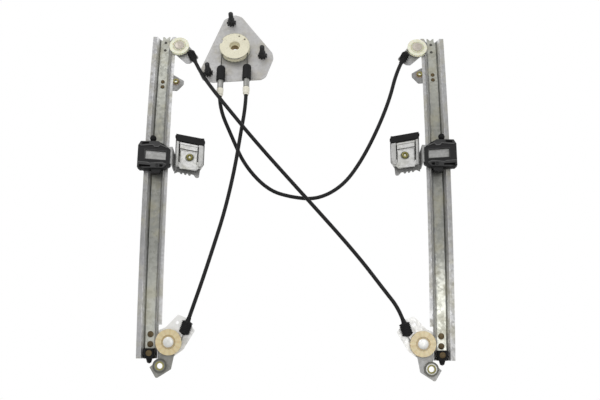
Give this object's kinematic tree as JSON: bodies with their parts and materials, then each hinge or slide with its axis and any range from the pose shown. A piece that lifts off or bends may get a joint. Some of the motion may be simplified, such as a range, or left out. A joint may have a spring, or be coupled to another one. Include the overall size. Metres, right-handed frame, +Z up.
{
  "type": "window regulator",
  "caption": "Cable window regulator with two curved guide rails, a grooved drum on a studded plate, guide pulleys, sheathed cables and sliding glass clamps.",
  "frame": {"origin": "on the axis of the drum, at the front face of the drum plate", "axes": "+X across the door to the viewer's right, +Z up along the chord of the rails, +Y away from the viewer into the door"},
  "size_m": [0.4954, 0.0553, 0.6033],
  "materials": {
    "galvanised_steel": "satin",
    "plate_steel": "satin",
    "zinc_steel": "satin",
    "dark_rivet": "satin",
    "olive_nut": "satin",
    "bright_steel": "polished",
    "cable_steel": "satin",
    "spring_steel": "satin",
    "black_steel": "satin",
    "black_rubber": "matte",
    "black_plastic": "matte",
    "casing_plastic": "satin",
    "drum_plastic": "matte",
    "cream_plastic": "satin",
    "amber_nylon": "gloss",
    "ivory_plastic": "satin",
    "bronze_bush": "satin",
    "carrier_steel": "satin"
  },
  "bodies": {
    "frame": {"left_rail": "galvanised_steel", "left_upper_bracket": "galvanised_steel", "left_lower_bracket": "galvanised_steel", "left_upper_mount": "galvanised_steel", "left_lower_stop": "black_rubber", "left_port_boot": "black_rubber", "left_port_sleeve": "bright_steel", "left_port_ferrule": "ivory_plastic", "left_upper_boot": "black_rubber", "left_lower_boot": "black_rubber", "left_rail_cable": "cable_steel", "left_drum_cable": "cable_steel", "right_rail": "galvanised_steel", "right_upper_bracket": "galvanised_steel", "right_lower_bracket": "galvanised_steel", "right_upper_mount": "galvanised_steel", "right_lower_stop": "black_rubber", "right_port_boot": "black_rubber", "right_port_sleeve": "bright_steel", "right_port_ferrule": "ivory_plastic", "right_upper_boot": "black_rubber", "right_lower_boot": "black_rubber", "right_rail_cable": "cable_steel", "right_drum_cable": "cable_steel", "rail_rivets": "dark_rivet", "upper_mount_nuts": "olive_nut", "lower_mount_collars": "zinc_steel", "lower_mount_washers": "zinc_steel", "upper_pulley_pins": "zinc_steel", "lower_pulley_pins": "bright_steel", "drum_plate": "plate_steel", "plate_studs": "black_steel", "drum_bush": "bronze_bush", "port_springs": "spring_steel", "left_port_casing": "casing_plastic", "right_port_casing": "casing_plastic", "cross_casing": "casing_plastic"},
    "drum": {"cable_drum": "drum_plastic", "drum_windings": "cable_steel"},
    "left_upper_pulley_body": {"left_upper_pulley": "cream_plastic"},
    "left_lower_pulley_body": {"left_lower_pulley": "amber_nylon"},
    "right_upper_pulley_body": {"right_upper_pulley": "cream_plastic"},
    "right_lower_pulley_body": {"right_lower_pulley": "amber_nylon"},
    "left_carrier": {"left_slider": "black_plastic", "left_cable_nipples": "cable_steel", "left_bumper": "black_rubber", "left_carrier_plate": "carrier_steel", "left_back_pad": "black_rubber"},
    "left_jaw": {"left_clamp_jaw": "zinc_steel", "left_jaw_pad": "black_rubber"},
    "left_screw": {"left_clamp_screw": "olive_nut"},
    "right_carrier": {"right_slider": "black_plastic", "right_cable_nipples": "cable_steel", "right_bumper": "black_rubber", "right_carrier_plate": "carrier_steel", "right_back_pad": "black_rubber"},
    "right_jaw": {"right_clamp_jaw": "zinc_steel", "right_jaw_pad": "black_rubber"},
    "right_screw": {"right_clamp_screw": "olive_nut"}
  },
  "joints": [
    {"name": "left_carrier_travel", "type": "hinge", "parent": "frame", "child": "left_carrier", "pos_m": [0, 1.47676, -0.23918], "axis": [-1, 0, 0], "range_deg": [-9, 3.4]},
    {"name": "right_carrier_travel", "type": "hinge", "parent": "frame", "child": "right_carrier", "pos_m": [0, 1.47676, -0.23918], "axis": [-1, 0, 0], "range_deg": [-9, 3.4]},
    {"name": "drum_spin", "type": "hinge", "parent": "frame", "child": "drum", "pos_m": [0, 0, 0], "axis": [0, 0.9871, -0.1599], "continuous": true},
    {"name": "left_upper_pulley_spin", "type": "hinge", "parent": "frame", "child": "left_upper_pulley_body", "pos_m": [-0.0907, -0.00669, 0.00374], "axis": [0, 0.9869, -0.1616], "continuous": true},
    {"name": "left_lower_pulley_spin", "type": "hinge", "parent": "frame", "child": "left_lower_pulley_body", "pos_m": [-0.0865, -0.00698, -0.48029], "axis": [0, 0.9871, 0.1604], "continuous": true},
    {"name": "right_upper_pulley_spin", "type": "hinge", "parent": "frame", "child": "right_upper_pulley_body", "pos_m": [0.2973, -0.00669, 0.00374], "axis": [0, 0.9869, -0.1616], "continuous": true},
    {"name": "right_lower_pulley_spin", "type": "hinge", "parent": "frame", "child": "right_lower_pulley_body", "pos_m": [0.2931, -0.00698, -0.48029], "axis": [0, 0.9871, 0.1604], "continuous": true},
    {"name": "left_jaw_close", "type": "slide", "parent": "left_carrier", "child": "left_jaw", "axis": [0, 0.9995, -0.0305], "range_m": [0, 0.0025]},
    {"name": "left_screw_turn", "type": "hinge", "parent": "left_jaw", "child": "left_screw", "pos_m": [-0.066, -0.00613, -0.18987], "axis": [0, 0.9995, -0.0305], "continuous": true},
    {"name": "right_jaw_close", "type": "slide", "parent": "right_carrier", "child": "right_jaw", "axis": [0, 0.9994, -0.0349], "range_m": [0, 0.0025]},
    {"name": "right_screw_turn", "type": "hinge", "parent": "right_jaw", "child": "right_screw", "pos_m": [0.2726, -0.0059, -0.1834], "axis": [0, 0.9994, -0.0349], "continuous": true}
  ],
  "couplings": [
    {"joint": "right_carrier_travel", "follows": "left_carrier_travel", "ratio": 1},
    {"joint": "drum_spin", "follows": "left_carrier_travel", "ratio": 72.269},
    {"joint": "left_upper_pulley_spin", "follows": "left_carrier_travel", "ratio": 115.63},
    {"joint": "left_lower_pulley_spin", "follows": "left_carrier_travel", "ratio": 87.395},
    {"joint": "right_upper_pulley_spin", "follows": "left_carrier_travel", "ratio": -115.63},
    {"joint": "right_lower_pulley_spin", "follows": "left_carrier_travel", "ratio": -87.395},
    {"joint": "left_screw_turn", "follows": "left_jaw_close", "rad_per_m": 6283.2},
    {"joint": "right_screw_turn", "follows": "right_jaw_close", "rad_per_m": 6283.2}
  ]
}
